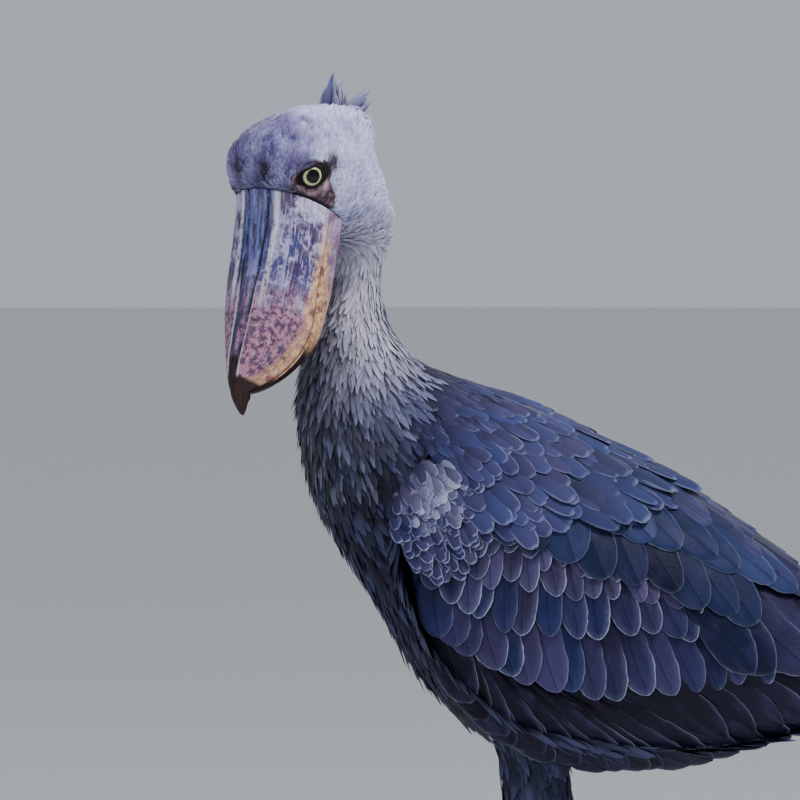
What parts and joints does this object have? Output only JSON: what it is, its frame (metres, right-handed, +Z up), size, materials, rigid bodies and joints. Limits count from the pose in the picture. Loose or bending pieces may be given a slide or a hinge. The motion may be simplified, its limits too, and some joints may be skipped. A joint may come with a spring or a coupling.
{
  "type": "shoebill",
  "caption": "Life-size standing shoebill with folded wings, a heavy hooked bill held down and its head turned to its left.",
  "frame": {"origin": "on the floor under the middle of the bird's bounding box", "axes": "+Z up, the bird faces -Y and its left side is toward +X"},
  "size_m": [0.2852, 0.7694, 1.1668],
  "materials": {
    "head_plumage": "soft short feathers",
    "body_plumage": "matte feathers",
    "flight_feathers": "satin feathers with pale edges",
    "horn": "mottled worn horn",
    "eye": "wet and glossy",
    "leg_skin": "fine dull scales"
  },
  "bodies": {
    "root": {"head": "head_plumage", "bill_upper": "horn", "bill_lower": "horn", "eye_left": "eye", "eye_right": "eye", "neck": "body_plumage", "torso": "body_plumage", "tail": "flight_feathers", "wing_left": "flight_feathers", "wing_right": "flight_feathers", "thigh_left": "body_plumage", "thigh_right": "body_plumage", "shank_left": "leg_skin", "shank_right": "leg_skin", "foot_left": "leg_skin", "foot_right": "leg_skin"}
  },
  "joints": []
}
